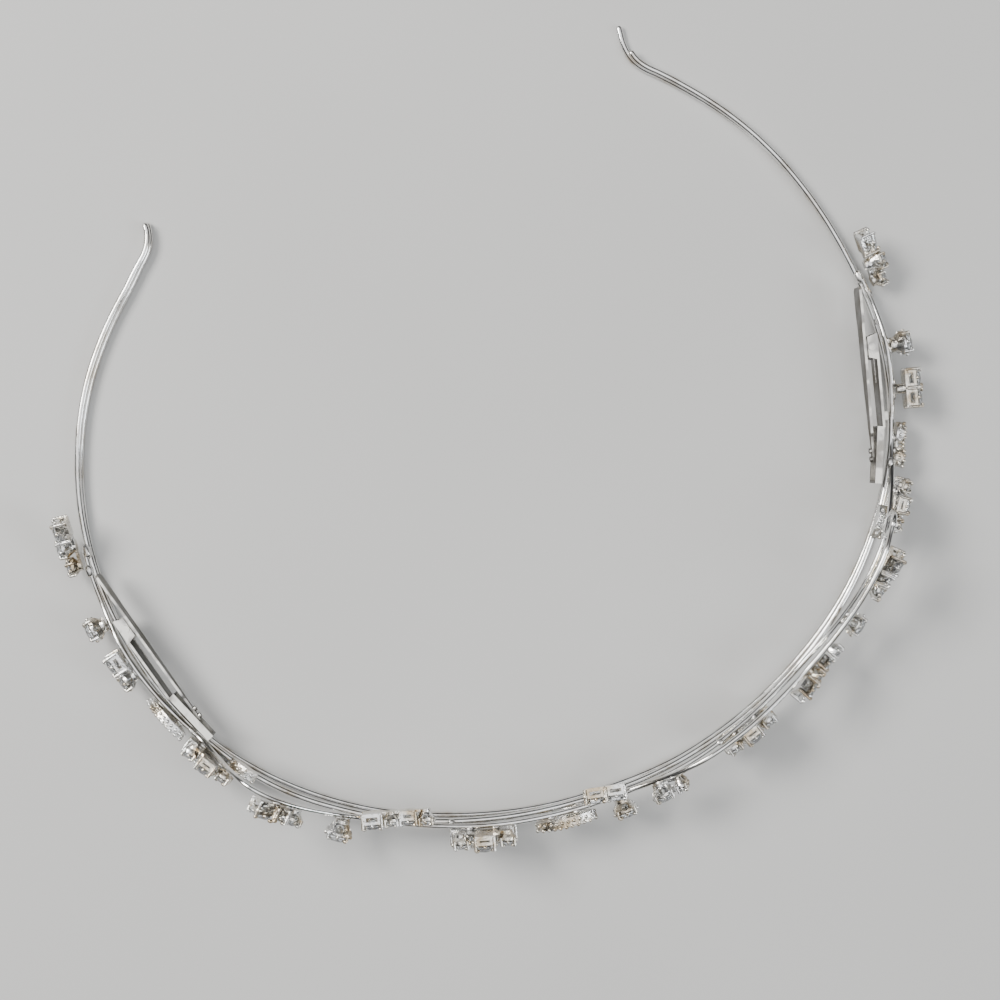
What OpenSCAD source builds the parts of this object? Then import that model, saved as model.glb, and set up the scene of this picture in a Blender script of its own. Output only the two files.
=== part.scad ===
// Wire tiara with clear set stones and a small hair clip inside each arm.
// Millimetres. The tiara lies flat, +Z up, its front towards -Y and its open side towards +Y.
// The origin is on the table, under the middle of the footprint.

/* [Band] */
// Diameter of the two base wires
base_wire_d = 1.1; // [0.9:0.1:1.2]
// Diameter of the two vine wires
vine_wire_d = 0.9; // [0.7:0.1:1.0]
// Radius of the band across the front
front_r = 79; // [76:1:82]
// Length of the front arc, from the middle to each side
front_len = 39; // [37:1:41]
// Radius of the band along the sides
side_r = 60; // [58:1:62]
// Length of each side arc
side_len = 80; // [78:1:82]
// Radius of the outward curl at both tips
tip_r = 8; // [7:0.5:9]
// Length of the curl
tip_len = 5.8; // [5:0.2:6.6]
// Height of the upper base wire's axis across the front
upper_z = 5.5; // [5:0.1:5.8]

/* [Stones] */
// Depth of a cup from its back to the edge of its stone
cup_depth = 2.1; // [2:0.1:2.4]
// Wall of a cup
cup_wall = 0.25; // [0.2:0.05:0.3]
// Thickness of a cup's floor
cup_floor = 0.5; // [0.3:0.1:0.6]
// Thickness of the plates that hold small stones
plate_t = 1.5; // [1.3:0.1:1.6]
// Diameter of a prong
prong_d = 0.5; // [0.4:0.05:0.55]
// Table of a cut stone as a part of its width
table_part = 0.56; // [0.5:0.02:0.62]
// Height of a cut stone's crown as a part of its width
crown_part = 0.2; // [0.14:0.01:0.2]

/* [Clips] */
// Height of a clip's middle above the table
clip_z = 5.2; // [5.2:0.1:5.6]
// Thickness of the clips' sheet metal
sheet_t = 0.4; // [0.36:0.01:0.42]
// Width of a clip's base at its pin
clip_w = 4.4; // [4.2:0.1:4.6]
// Reach of the lever's tip in front of the pin
jaw_len = 19.4; // [19:0.1:19.6]
// Length of the lever's handle behind the pin
handle_len = 10.2; // [9:0.2:10.6]
// Radius of the hinge pin
pin_r = 0.35; // [0.3:0.01:0.36]

/* [Hidden] */
// The middle of the footprint, counted from the front middle of the band
MIDDLE = [0.2, 56.59];
// Gap between a soldered motif and the wire behind it
SEAT_GAP = 0.15;
// Gap round a small stone in its seat
SEAT_ROOM = 0.1;
// How far a stone keeps inside the outline of its cup, and how much lower the cup's wall ends
STONE_INSET = 0.18;
WALL_DROP = 0.45;
// Thickness of the strips and disks behind the cups
back_t = cup_floor - 0.12;
// Width of a round cup's foot as a part of its rim's
FOOT_PART = 0.62;
// Height of the straight rim at the top of a round cup
RIM_H = 0.45;
// Sides of a base wire, a vine wire and a cut stone
WIRE_SIDES = 8;
VINE_SIDES = 6;
STONE_SIDES = 8;

// Plan of each half of the band, from the front middle to the tip.
// Columns: radius (negative bends outward), length
RIGHT_ARCS = [[front_r, front_len], [side_r, side_len], [74, 35], [-tip_r, tip_len], [1000, 4.6]];
LEFT_ARCS = [[front_r, front_len], [side_r, side_len], [55, 37], [-64, 8], [-tip_r, tip_len + 0.6]];
function arcs_length(arcs, i = 0) = i == len(arcs) ? 0 : arcs[i][1] + arcs_length(arcs, i + 1);
RIGHT_END = arcs_length(RIGHT_ARCS);
LEFT_END = -arcs_length(LEFT_ARCS);

// The upper base wire lies on the lower one in the arms and rises between these two places
RISE_START = 102;
RISE_END = 50;
// How far outside the base wires the vine wires run: they press into them where they cross
VINE_OUT = (base_wire_d + vine_wire_d) / 2 - 0.1;
// Outside of the vine wires, where the motifs' backs lie
MOTIF_OUT = VINE_OUT + vine_wire_d / 2 + SEAT_GAP;

// Outward places of the two base wires.
// Columns: place along the band (0 is the front middle, positive to the right), outward place
LOWER_OUT = [[-170, -0.5], [-162, 0.27], [-148, 0.07], [-125, 0], [-112, 0.1], [-82, 0.6],
             [-50, 0.14], [-38, 0.18], [-8, 0.6], [12, 1.2], [50, 1.15], [85, 1.3], [110, 0.48],
             [132, 0.87], [153, 0.45], [161, -0.4], [165, 0.1]];
UPPER_OUT = [[-170, -0.27], [-161, 0.62], [-145, 0.46], [-125, 0.27], [-105, 0.3], [-62, 0.6],
             [-48, 0.25], [-12, 0.2], [8, 0.65], [30, 0.75], [56, 0.4], [88, 0.9], [110, 0.25],
             [136, 0.88], [153, 0.7], [160, 0.1]];
// How much sooner the upper base wire ends at the right tip
UPPER_SHORTER = 4.8;

// Heights of the two vine wires, crest by trough.
// Columns: place along the band, height
LOW_VINE = [[-113, 2.0], [-106, 2.1], [-94, 5.0], [-64, 2.6], [-42, 4.0], [-20, 2.8], [8, 9.4],
            [34, 6.4], [57, 11.6], [79, 3.2], [91, 4.6], [104, 2.0]];
HIGH_VINE = [[-78, 4.0], [-64, 14], [-43, 5.2], [-20, 7.6], [-3, 7.7], [14, 14], [34, 12],
             [57, 15.4], [62, 14]];
// The high vine ends in a loop that crosses the low vine.
// Columns: place along the band, height of its middle, radius
END_LOOP = [62, 12, 2];

// Solder beads. Columns: place along the band, height, outward, diameter
BEADS = [[-113, 1.9, 0.6, 1.9], [104, 1.9, 0.6, 1.9], [-78, 3.9, 0.9, 1.4], [-43, 5.3, 0.6, 1.5],
         [62, 14, 0.9, 1.3], [-10, 5.5, 0.6, 1.4], [72, 5.2, 0.6, 1.4],
         [-50, 3.2, 0.9, 1.2], [-101, 1.7, 0.7, 1.3], [96, 1.8, 0.8, 1.3]];

// Kinds of row in a motif's table
ROUND = "round";
SQUARE = "square";
BAR = "bar";
PLATE = "plate";
DISK = "disk";
GRAIN = "grain";
// A motif's table. Columns: kind, size, along the band, upward, lift (or a plate's width)
TRIO = [[SQUARE, 3.2, -3.6, 0.4, 0.1], [ROUND, 3.5, -0.1, -0.3, 0.5], [ROUND, 3.0, 3.3, 0.4, -0.1]];
SINGLE = [[ROUND, 3.8, 0, 0, 0.2]];
SOLITAIRE = [[ROUND, 4.2, 0, 0, 0.6]];
MIXED_PAIR = [[SQUARE, 3.1, -1.9, 0.3, 0.1], [ROUND, 3.6, 1.6, -0.2, 0.1]];
SQUARE_PAIR = [[SQUARE, 3.0, -1.65, 0, 0.2], [SQUARE, 3.0, 1.65, 0, 0.2]];
BAR_GROUP = [[SQUARE, 3.2, -3.1, 0, 0.3], [BAR, 3.8, -0.3, 0, 0], [ROUND, 3.4, 2.6, -0.1, 0]];
ROW = [[SQUARE, 3.2, -4.5, 0, 0.2], [ROUND, 2.8, -1.3, 0.2, 0], [SQUARE, 2.6, 1.6, 0, 0],
       [ROUND, 3.0, 4.6, 0.1, 0.2]];
STEP = [[SQUARE, 3.1, -1.7, 0, 0], [SQUARE, 3.1, 1.7, 0, 0]];
RING = [[ROUND, 4.0, -1.3, 0, 0.3], [ROUND, 2.0, 2.0, 1.2, 0.1], [ROUND, 2.0, 2.2, -1.2, 0.1]];
FLOWER = concat([[DISK, 7.3, 0, 0, 0], [ROUND, 3.8, 0, 0, 0.6]],
                [for (i = [0:5]) [i % 2 == 0 ? ROUND : SQUARE, 2.7,
                                  4.0 * cos(30 + 60 * i), 4.0 * sin(30 + 60 * i), -0.3]]);
LEAF = concat([[PLATE, 10.6, 0, 0, 4.6], [GRAIN, 1.2, -3.9, 0, 0], [GRAIN, 1.2, 3.9, 0, 0]],
              [for (i = [0:3], v = [-0.9, 0.9]) [GRAIN, 1.3, 1.74 * (i - 1.5), v, 0]]);
BUD = concat([[PLATE, 5.6, 0, 0, 2.4]], [for (i = [-1:1]) [GRAIN, 1.15, 1.5 * i, 0, 0]]);
LOBES = concat([for (u = [-2.1, 2.1]) [PLATE, 4.0, u, 0, 2.5]],
               [for (u = [-2.1, 2.1], i = [-0.5, 0.5]) [GRAIN, 1.25, u + 1.6 * i, 0, 0]]);

// Motifs along the band, left to right.
// Columns: name, table, place along the band, height, outward place of its back, tilt, size,
// lean (how far its top leans in), swing (how far its right end swings in)
NAME = 0;
MOTIFS = [
    ["trio_left", TRIO, -114.3, 4.6, MOTIF_OUT, -22, 1, 0, 0],
    ["single_left", SINGLE, -100.8, 4.6, MOTIF_OUT, 0, 1.1, 0, 0],
    ["pair_left", MIXED_PAIR, -92.7, 5.0, MOTIF_OUT, -8, 1, 0, 0],
    ["leaf_left", LEAF, -82.6, 4.4, MOTIF_OUT, 20, 0.87, 0, 0],
    ["flower_left", FLOWER, -72.8, 6.4, MOTIF_OUT, 0, 0.98, 0, 0],
    ["bud_left", BUD, -67.5, 8.2, -0.6, 24, 1, 0, 0],
    ["bar_left", BAR_GROUP, -59.1, 12.1, MOTIF_OUT, -28, 1, 0, 0],
    ["solitaire_left", SOLITAIRE, -49.3, 7.4, MOTIF_OUT, 0, 1.06, 0, 0],
    ["row_left", ROW, -40.4, 8.7, -1.9, 3, 0.97, 0, 11],
    ["flower_front_left", FLOWER, -26.1, 7.0, MOTIF_OUT, 0, 1.12, 0, 0],
    ["leaf_front", LEAF, -12.5, 6.9, MOTIF_OUT + 0.2, 6, 1, 0, 0],
    ["step_front", STEP, -4.9, 10.6, -1.9, 0, 1, 10, -12],
    ["single_front", SINGLE, -2.8, 6.1, MOTIF_OUT + 0.6, 0, 1.08, 0, 0],
    ["ring_front", RING, 5.0, 9.8, MOTIF_OUT, 8, 1, 0, 0],
    ["flower_front_right", FLOWER, 20.8, 7.0, MOTIF_OUT, 0, 1.04, 0, 0],
    ["row_right", ROW, 35.7, 9.8, MOTIF_OUT, -25, 0.97, 0, 0],
    ["solitaire_right", SOLITAIRE, 45.1, 8.6, MOTIF_OUT, 0, 0.97, 0, 0],
    ["bar_right", BAR_GROUP, 53.7, 12.6, MOTIF_OUT, 208, 1, 0, 0],
    ["bud_right", BUD, 62.0, 7.7, -0.5, 0, 1, 0, 0],
    ["flower_right", FLOWER, 65.4, 6.6, MOTIF_OUT, 0, 0.94, 0, 0],
    ["leaf_right", LOBES, 75.2, 3.6, MOTIF_OUT, -8, 0.95, 0, 0],
    ["pair_right", SQUARE_PAIR, 84.3, 4.6, MOTIF_OUT + 1.3, 0, 1, 0, 0],
    ["single_right", SINGLE, 91.6, 4.6, MOTIF_OUT + 0.2, 0, 1.12, 0, 0],
    ["trio_right", TRIO, 105.4, 4.6, MOTIF_OUT + 0.4, 202, 1, 0, 0]
];

// Clips. Columns: name, place of the pin along the band, its outward place, turn,
// 1 or -1 for the side, how far its lug stands out
CLIPS = [["clip_right", 92, -2.35, -6.5, 1, 1.4], ["clip_left", -98.5, -1.77, -6.5, -1, 0.7]];
// Distance from a clip's pin to the face of its base and of its lever
PLATE_Y = 0.74;
// The shallow catch at the end of a base: its start, length, depth and turn
CATCH = [13.3, 9.6, 1.15, -8];
SPRING_R = 0.6;
// Running gap of the pin in the lever and in the base
LEVER_FIT = 0.07;
BASE_FIT = 0.03;

$fn = 32;

// The point and heading after a stretch s of an arc of radius r from p
function arc_step(p, r, s) =
    let (a = p[2] + s / r * 180 / PI)
    [p[0] + r * (sin(a) - sin(p[2])), p[1] + r * (cos(p[2]) - cos(a)), a];

function along(arcs, s, p = [0, 0, 0], i = 0) =
    i == len(arcs) - 1 || s <= arcs[i][1]
        ? arc_step(p, arcs[i][0], s)
        : along(arcs, s - arcs[i][1], arc_step(p, arcs[i][0], arcs[i][1]), i + 1);

// The band's x, y and heading at s, from the front middle
function band(s) =
    s >= 0 ? along(RIGHT_ARCS, s) : let (p = along(LEFT_ARCS, -s)) [-p[0], p[1], -p[2]];

function band_point(s, out, z) =
    let (p = band(s))
    [p[0] + out * sin(p[2]) - MIDDLE[0], p[1] - out * cos(p[2]) - MIDDLE[1], z];

function ease(t) = (1 - cos(180 * max(0, min(1, t)))) / 2;

// The value of a table at s, eased from one of its rows to the next
function wave(k, s, i = 0) =
    i >= len(k) - 2 || s <= k[i + 1][0]
        ? k[i][1] + (k[i + 1][1] - k[i][1]) * ease((s - k[i][0]) / (k[i + 1][0] - k[i][0]))
        : wave(k, s, i + 1);

function lower_base_z(s) = base_wire_d / 2;
function stacked_z() = base_wire_d * 1.5 - 0.12;
function upper_base_z(s) =
    stacked_z() + (upper_z - stacked_z()) * ease((RISE_START - abs(s)) / (RISE_START - RISE_END));

// Places along a wire, with its end rings close together so that the ends look rounded.
// Columns: place along the band, part of the full radius
function stations(from, to, step) =
    let (n = ceil((to - from - 0.8) / step))
    concat([[from, 0.6]],
           [for (i = [0:n]) [from + 0.4 + (to - from - 0.8) * i / n, 1]],
           [[to, 0.6]]);

function cross_ring(p, before, after, out, r, sides) =
    let (d = after - before, t = d / norm(d), b = cross(t, out))
    [for (i = [0:sides - 1]) p + r * (cos(360 * i / sides) * out + sin(360 * i / sides) * b)];

// A round wire through the given points. Columns of a point: place, outward direction, radius
module tube(path, sides) {
    last = len(path) - 1;
    points = [for (j = [0:last])
        each cross_ring(path[j][0], path[max(0, j - 1)][0], path[min(last, j + 1)][0],
                        path[j][1], path[j][2], sides)];
    walls = [for (j = [0:last - 1], i = [0:sides - 1])
        let (a = j * sides + i, b = j * sides + (i + 1) % sides)
        each [[a, a + sides, b], [b, a + sides, b + sides]]];
    first_end = [for (i = [0:sides - 1]) i];
    last_end = [for (i = [sides - 1:-1:0]) last * sides + i];
    polyhedron(points, concat(walls, [first_end, last_end]));
}

module base_wires() {
    for (upper = [false, true]) {
        path = [for (st = stations(LEFT_END, RIGHT_END - (upper ? UPPER_SHORTER : 0), 3))
            let (h = band(st[0])[2], out = wave(upper ? UPPER_OUT : LOWER_OUT, st[0]),
                 z = upper ? upper_base_z(st[0]) : lower_base_z(st[0]))
            [band_point(st[0], out, z), [sin(h), -cos(h), 0], st[1] * base_wire_d / 2]];
        tube(path, WIRE_SIDES);
    }
}

module vine_wire(heights) {
    path = [for (st = stations(heights[0][0], heights[len(heights) - 1][0], 2))
        let (h = band(st[0])[2])
        [band_point(st[0], VINE_OUT, wave(heights, st[0])), [sin(h), -cos(h), 0],
         st[1] * vine_wire_d / 2]];
    tube(path, VINE_SIDES);
}

// Puts a flat drawing on the outside of the band: its x runs along the band and its y upward
module on_band(s, out, z, lean = 0, swing = 0) {
    translate(band_point(s, out, z)) rotate([0, 0, band(s)[2] + swing]) rotate([90 - lean, 0, 0])
        children();
}

module end_loop() {
    on_band(END_LOOP[0], VINE_OUT, END_LOOP[1])
        rotate_extrude($fn = 20) translate([END_LOOP[2], 0]) circle(d = vine_wire_d, $fn = 6);
}

// A bead of solder: a drop drawn out a little along the band
module bead(b) {
    on_band(b[0], b[2], b[1])
        hull()
            for (x = [-0.35, 0.35]) translate([x * b[3], 0, 0]) sphere(d = b[3] * 0.8, $fn = 8);
}

module wire_frame() {
    color("silver") {
        base_wires();
        vine_wire(LOW_VINE);
        vine_wire(HIGH_VINE);
        end_loop();
        for (b = BEADS) bead(b);
    }
}

// Half length and half width of a cup that holds a stone of this kind
function half_box(kind, size) = kind == BAR ? [size * 0.25, size / 2] : [size / 2, size / 2];

module cup_outline(kind, size, inset) {
    h = half_box(kind, size);
    if (kind == ROUND || kind == GRAIN) circle(d = size - 2 * inset);
    else square([2 * (h[0] - inset), 2 * (h[1] - inset)], center = true);
}

// A marquise outline: where two equal circles overlap
module marquise(length, width) {
    r = (length * length / 4 + width * width / 4) / width;
    intersection() {
        translate([0, r - width / 2]) circle(r = r, $fn = 96);
        translate([0, width / 2 - r]) circle(r = r, $fn = 96);
    }
}

// Four prongs round a cup, each with a claw that leans over the stone
module prongs(row) {
    stand_off = 0.04;
    claw_lean = 0.15;
    claw_rise = 0.36;
    is_round = row[0] == ROUND;
    foot = is_round ? wall_top(row) - RIM_H + 0.05 : 0.2;
    h = half_box(row[0], row[1]) * (is_round ? sqrt(0.5) : 1) + [stand_off, stand_off];
    claw_z = cup_depth + row[4] + claw_rise;
    for (x = [-1, 1], y = [-1, 1]) {
        translate([x * h[0], y * h[1], foot]) cylinder(d = prong_d, h = claw_z - foot);
        translate([x * (h[0] - claw_lean), y * (h[1] - claw_lean), claw_z]) sphere(d = prong_d + 0.06);
    }
}

// A strip behind a motif, from its middle to one of its cups
module back_strip(u, v) {
    strip_w = 1.2;
    rotate([0, 0, atan2(v, u)]) translate([0, -strip_w / 2, 0]) cube([norm([u, v]), strip_w, back_t]);
}

// Whether a row of a motif's table holds a stone in a cup of its own
function is_cup(row) = row[0] == ROUND || row[0] == SQUARE || row[0] == BAR;

// Height of a cup's wall over its back
function wall_top(row) = cup_depth + row[4] - WALL_DROP;

module setting_body(row) {
    translate([row[2], row[3], 0])
        if (row[0] == PLATE) linear_extrude(plate_t) marquise(row[1], row[4]);
        else if (row[0] == DISK) cylinder(d = row[1], h = back_t);
        else if (row[0] == ROUND) round_cup(row[1], wall_top(row), 0);
        else if (row[0] != GRAIN) linear_extrude(wall_top(row)) cup_outline(row[0], row[1], 0);
}

module setting_hollow(row) {
    grain_seat = 0.85;
    if (row[0] == ROUND)
        translate([row[2], row[3], 0]) {
            round_cup(row[1], wall_top(row), cup_wall);
            windows(row[1], wall_top(row));
        }
    else if (is_cup(row))
        translate([row[2], row[3], 0]) {
            translate([0, 0, cup_floor])
                linear_extrude(wall_top(row)) cup_outline(row[0], row[1], cup_wall);
            slots(row);
        }
    else if (row[0] == GRAIN)
        translate([row[2], row[3], plate_t - grain_seat])
            linear_extrude(plate_t) cup_outline(row[0], row[1], -SEAT_ROOM);
}

// A round cup on a narrower foot, or with an inset the hollow inside it
module round_cup(size, top, inset) {
    r = size / 2 - inset;
    foot_r = size / 2 * FOOT_PART - inset;
    if (inset == 0) cylinder(r = foot_r, h = cup_floor);
    translate([0, 0, cup_floor]) cylinder(r1 = foot_r, r2 = r, h = top - RIM_H - cup_floor);
    translate([0, 0, top - RIM_H]) cylinder(r = r, h = RIM_H + (inset > 0 ? 1 : 0));
}

// Four round windows in the side of a large round cup
module windows(size, top) {
    window_d = top - cup_floor - 0.35;
    smallest_with_windows = 2.75;
    if (size > smallest_with_windows)
        for (a = [0, 90])
            translate([0, 0, cup_floor + 0.1 + window_d / 2]) rotate([90, 0, a])
                cylinder(d = window_d, h = size, center = true);
}

// Four oblong windows in the side of a square or long cup
module slots(row) {
    corner_w = 0.6;
    h = half_box(row[0], row[1]) * 2;
    slot_h = wall_top(row) - cup_floor - 0.55;
    translate([0, 0, cup_floor + 0.1 + slot_h / 2]) {
        cube([h[0] - 2 * corner_w, h[1] + 1, slot_h], center = true);
        cube([h[0] + 1, h[1] - 2 * corner_w, slot_h], center = true);
    }
}

module setting(m) {
    rows = m[1];
    rear = m[4] - MOTIF_OUT;
    color("silver") on_band(m[2], m[4], m[3], m[7], m[8]) rotate([0, 0, m[5]]) scale(m[6]) {
        difference() {
            union() {
                for (r = rows) setting_body(r);
                for (r = rows)
                    if (len(rows) > 1 && is_cup(rows[0])) back_strip(r[2], r[3]);
                if (rows == LOBES) back_strip(-2.1, 0);
                if (rows == LOBES) back_strip(2.1, 0);
                if (rear > 0) translate([0, 0, -rear]) cylinder(d = 1.8, h = rear + 0.3);
            }
            for (r = rows) setting_hollow(r);
        }
        for (r = rows)
            if (is_cup(r)) translate([r[2], r[3], 0]) prongs(r);
    }
}

// Outline of a cut stone with eight corners
function stone_ring(kind, h, part, z) =
    kind == ROUND || kind == GRAIN
        ? [for (i = [0:STONE_SIDES - 1]) let (a = 360 * (i + 0.5) / STONE_SIDES)
              [part * h[0] * cos(a), part * h[0] * sin(a), z]]
        : let (x = h[0] * part, y = h[1] * part, c = min(x, y) * 0.4)
          [[x, y - c, z], [x - c, y, z], [c - x, y, z], [-x, y - c, z],
           [-x, c - y, z], [c - x, -y, z], [x - c, -y, z], [x, c - y, z]];

// A cut stone: table, crown, girdle and pavilion. Its girdle's top lies at z = 0
module stone(kind, size, inset) {
    h = half_box(kind, size) - [inset, inset];
    width = 2 * min(h);
    n = STONE_SIDES;
    points = concat(stone_ring(kind, h, table_part, crown_part * width),
                    stone_ring(kind, h, 1, 0),
                    stone_ring(kind, h, 1, -0.05 * width),
                    [[0, 0, -0.46 * width]]);
    table = [for (i = [n - 1:-1:0]) i];
    crown_and_girdle = [for (j = [0, 1], i = [0:n - 1])
        let (a = j * n + i, b = j * n + (i + 1) % n)
        [a, b, b + n, a + n]];
    pavilion = [for (i = [0:n - 1]) [2 * n + i, 2 * n + (i + 1) % n, 3 * n]];
    polyhedron(points, concat([table], crown_and_girdle, pavilion));
}

module stones(m) {
    color("white", 0.6) on_band(m[2], m[4], m[3], m[7], m[8]) rotate([0, 0, m[5]]) scale(m[6])
        for (r = m[1])
            if (r[0] == GRAIN)
                translate([r[2], r[3], plate_t]) stone(GRAIN, r[1], 0);
            else if (is_cup(r))
                translate([r[2], r[3], cup_depth + r[4]])
                    stone(r[0], r[1], STONE_INSET);
}

// Puts a clip in place: its x runs from the pin to the jaw, its y outward
module on_clip(c) {
    p = band(c[1]);
    translate(band_point(c[1], c[2], clip_z))
        rotate([0, 0, p[2] + (c[4] > 0 ? 180 : 0) + c[4] * c[3]])
            rotate([c[4] > 0 ? 0 : 180, 0, 0]) children();
}

module clip_base(c) {
    tail = 2.2;
    half_w = clip_w / 2;
    catch_half_w = 1.95;
    ear = [1.7, -0.6];
    lug = [1.4, c[5], 0.7];
    color("gainsboro") on_clip(c) {
        translate([0, PLATE_Y + sheet_t, 0]) rotate([90, 0, 0]) linear_extrude(sheet_t)
            polygon([[-tail, -half_w], [tail, -half_w], [CATCH[0] + 0.3, -catch_half_w],
                     [CATCH[0] + 0.3, catch_half_w], [tail, half_w], [-tail, half_w]]);
        for (z = [-half_w, half_w - sheet_t]) translate([0, 0, z]) linear_extrude(sheet_t)
            difference() {
                polygon([[-tail, PLATE_Y + sheet_t / 2], [-ear[0], ear[1]], [ear[0], ear[1]],
                         [tail, PLATE_Y + sheet_t / 2]]);
                circle(r = pin_r + BASE_FIT);
            }
        clip_catch(catch_half_w);
        translate([11, PLATE_Y + sheet_t / 2, c[4] > 0 ? -catch_half_w : catch_half_w - lug[2]])
            cube([lug[0], lug[1] + sheet_t / 2, lug[2]]);
    }
}

// The open box at the end of a clip's base, which takes the tip of the lever
module clip_catch(half_w) {
    translate([CATCH[0], -0.16, 0]) rotate([0, 0, CATCH[3]])
        difference() {
            translate([0, 0, -half_w]) cube([CATCH[1], CATCH[2], 2 * half_w]);
            translate([sheet_t, -1, sheet_t - half_w])
                cube([CATCH[1] - 2 * sheet_t, CATCH[2] + 1 - sheet_t, 2 * (half_w - sheet_t)]);
        }
}

module clip_lever(c) {
    half_w = clip_w / 2 - sheet_t - 0.15;
    end_half_w = 2.0;
    tip_half_w = 0.55;
    ear_r = 0.62;
    stud = [0.45, 0.4];
    color("gainsboro") on_clip(c) {
        translate([0, -PLATE_Y, 0]) rotate([90, 0, 0]) linear_extrude(sheet_t)
            polygon([[-handle_len, 0.5 - end_half_w], [0.5 - handle_len, -end_half_w], [-5.4, -end_half_w],
                     [-3.4, -half_w], [2, -half_w], [14.4, -0.8], [15, -tip_half_w],
                     [jaw_len, -tip_half_w], [jaw_len, tip_half_w], [15, tip_half_w], [14.4, 0.8],
                     [2, half_w], [-3.4, half_w], [-5.4, end_half_w], [0.5 - handle_len, end_half_w],
                     [-handle_len, end_half_w - 0.5]]);
        for (z = [-half_w, half_w - sheet_t]) translate([0, 0, z]) linear_extrude(sheet_t)
            difference() {
                union() {
                    circle(r = ear_r);
                    polygon([[-1.5, -PLATE_Y - sheet_t / 2], [1.5, -PLATE_Y - sheet_t / 2],
                             [ear_r - 0.02, 0], [0.02 - ear_r, 0]]);
                }
                circle(r = pin_r + LEVER_FIT);
            }
        for (x = [jaw_len - 0.6, jaw_len - 2])
            translate([x, 0.1 - PLATE_Y - sheet_t, 0]) rotate([90, 0, 0])
                cylinder(r = stud[0], h = stud[1] + 0.1);
    }
}

module clip_pin(c) {
    head_r = 0.6;
    head_t = 0.2;
    side_gap = 0.05;
    color("silver") on_clip(c) {
        cylinder(r = pin_r, h = clip_w + 2 * side_gap + 0.2, center = true);
        for (z = [-1, 1])
            translate([0, 0, z * (clip_w / 2 + side_gap + head_t / 2)])
                cylinder(r = head_r, h = head_t, center = true);
    }
}

module clip_spring(c) {
    wire_d = 0.2;
    half_l = 1.0;
    leg = 6;
    color("silver") on_clip(c) {
        difference() {
            cylinder(r = SPRING_R, h = 2 * half_l, center = true);
            cylinder(r = SPRING_R - wire_d, h = 2 * half_l + 1, center = true);
        }
        translate([0, SPRING_R - wire_d / 2, half_l - wire_d / 2]) rotate([0, 90, 0])
            cylinder(d = wire_d, h = leg, $fn = 16);
    }
}

wire_frame();
for (m = MOTIFS) {
    setting(m);
    stones(m);
}
for (c = CLIPS) {
    clip_base(c);
    clip_lever(c);
    clip_pin(c);
    clip_spring(c);
}
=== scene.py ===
"""Looks for a wire tiara with clear set stones and a small hair clip inside each arm.

Lengths are in millimetres until a piece is made. The tables of the band, the wires and the
motifs repeat those of the part's source. A place on the band is given by s, its length along
the band from the middle of the front, out, its distance outward, and z, its height.
"""

import math

import bmesh
import bpy
from mathutils import Matrix, Vector
from mathutils import noise as mnoise


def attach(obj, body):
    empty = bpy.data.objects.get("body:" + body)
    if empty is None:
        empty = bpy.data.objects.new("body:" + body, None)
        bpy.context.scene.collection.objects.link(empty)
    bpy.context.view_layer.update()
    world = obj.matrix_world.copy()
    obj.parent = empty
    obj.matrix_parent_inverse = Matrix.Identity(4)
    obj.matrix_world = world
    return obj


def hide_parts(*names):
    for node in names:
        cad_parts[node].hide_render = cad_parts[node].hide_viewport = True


MM = 0.001
TIARA = "tiara"

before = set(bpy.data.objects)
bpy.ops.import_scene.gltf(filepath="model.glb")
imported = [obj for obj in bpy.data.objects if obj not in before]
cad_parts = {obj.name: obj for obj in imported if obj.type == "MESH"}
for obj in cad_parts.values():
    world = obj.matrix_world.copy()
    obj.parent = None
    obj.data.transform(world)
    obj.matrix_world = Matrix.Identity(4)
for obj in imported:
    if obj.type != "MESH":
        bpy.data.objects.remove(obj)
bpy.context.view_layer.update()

# The band's plan: wire diameters, and arcs from the front to each tip (radius, length)

MIDDLE = (0.2, 56.59)
BASE_D = 1.1
VINE_D = 0.9
RIGHT_ARCS = ((79, 39), (60, 80), (74, 35), (-8, 5.8), (1000, 4.6))
LEFT_ARCS = ((79, 39), (60, 80), (55, 37), (-64, 8), (-8, 6.4))
RIGHT_END = sum(a[1] for a in RIGHT_ARCS)
LEFT_END = -sum(a[1] for a in LEFT_ARCS)
VINE_OUT = (BASE_D + VINE_D) / 2 - 0.1
MOTIF_OUT = VINE_OUT + VINE_D / 2 + 0.15

# How far each base wire stands outward along the band (s, out)

LOWER_OUT = ((-170, -0.5), (-162, 0.27), (-148, 0.07), (-125, 0), (-112, 0.1), (-82, 0.6),
             (-50, 0.14), (-38, 0.18), (-8, 0.6), (12, 1.2), (50, 1.15), (85, 1.3), (110, 0.48),
             (132, 0.87), (153, 0.45), (161, -0.4), (165, 0.1))
UPPER_OUT = ((-170, -0.27), (-161, 0.62), (-145, 0.46), (-125, 0.27), (-105, 0.3), (-62, 0.6),
             (-48, 0.25), (-12, 0.2), (8, 0.65), (30, 0.75), (56, 0.4), (88, 0.9), (110, 0.25),
             (136, 0.88), (153, 0.7), (160, 0.1))
UPPER_SHORTER = 4.8
UPPER_Z = 5.5
STACK_SUNK = 0.12
RISE_START = 102
RISE_END = 50

# How high the vines run along the band (s, z), their end loop (s, z, radius) and the beads of
# solder (s, z, out, size)

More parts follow.
